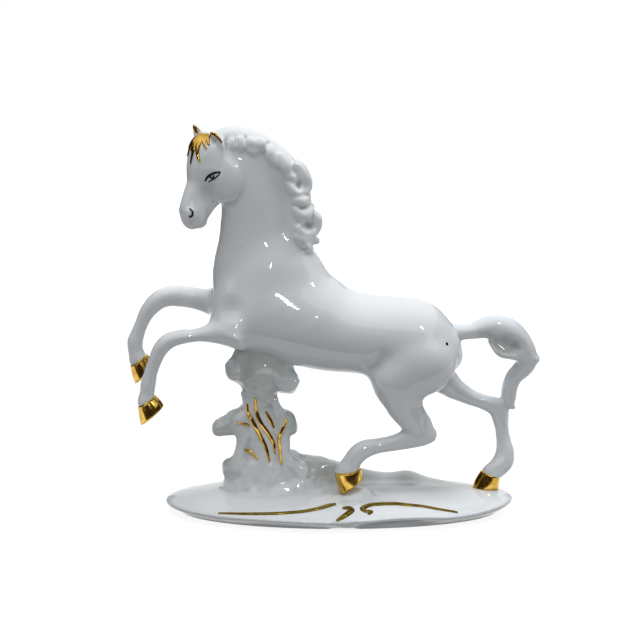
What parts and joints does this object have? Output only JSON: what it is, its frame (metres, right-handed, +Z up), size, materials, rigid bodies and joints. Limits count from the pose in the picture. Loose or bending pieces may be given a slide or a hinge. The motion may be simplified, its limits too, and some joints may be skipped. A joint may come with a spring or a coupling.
{
  "type": "porcelain horse figurine",
  "caption": "Glazed white porcelain figurine of a leaping horse carried on a rocky stump over an oval base, with gilt hooves, forelock, reeds and scrolls.",
  "frame": {"origin": "middle of the figurine's bounding box, at the level of the foot ring it stands on", "axes": "+Z up; +X toward the tail, so the horse faces -X; the horse's left side is toward -Y"},
  "size_m": [0.203, 0.0698, 0.1912],
  "materials": {
    "porcelain": "glossy clear glaze on white porcelain",
    "gold": "bright overglaze gold",
    "black": "fired black overglaze paint"
  },
  "bodies": {
    "root": {"base": "porcelain", "forelock": "gold", "head": "porcelain", "left_ear": "porcelain", "left_eye": "black", "left_fore_hoof": "gold", "left_fore_leg": "porcelain", "left_hind_hoof": "gold", "left_hind_leg": "porcelain", "left_nostril": "black", "mane": "porcelain", "neck": "porcelain", "reed_left_branch": "gold", "reed_left_long": "gold", "reed_low": "gold", "reed_middle_long": "gold", "reed_middle_short": "gold", "reed_right_long": "gold", "right_ear": "porcelain", "right_eye": "black", "right_fore_hoof": "gold", "right_fore_leg": "porcelain", "right_hind_hoof": "gold", "right_hind_leg": "porcelain", "right_nostril": "black", "scroll_left": "gold", "scroll_middle": "gold", "scroll_right": "gold", "stump": "porcelain", "tail": "porcelain", "torso": "porcelain"}
  },
  "joints": []
}
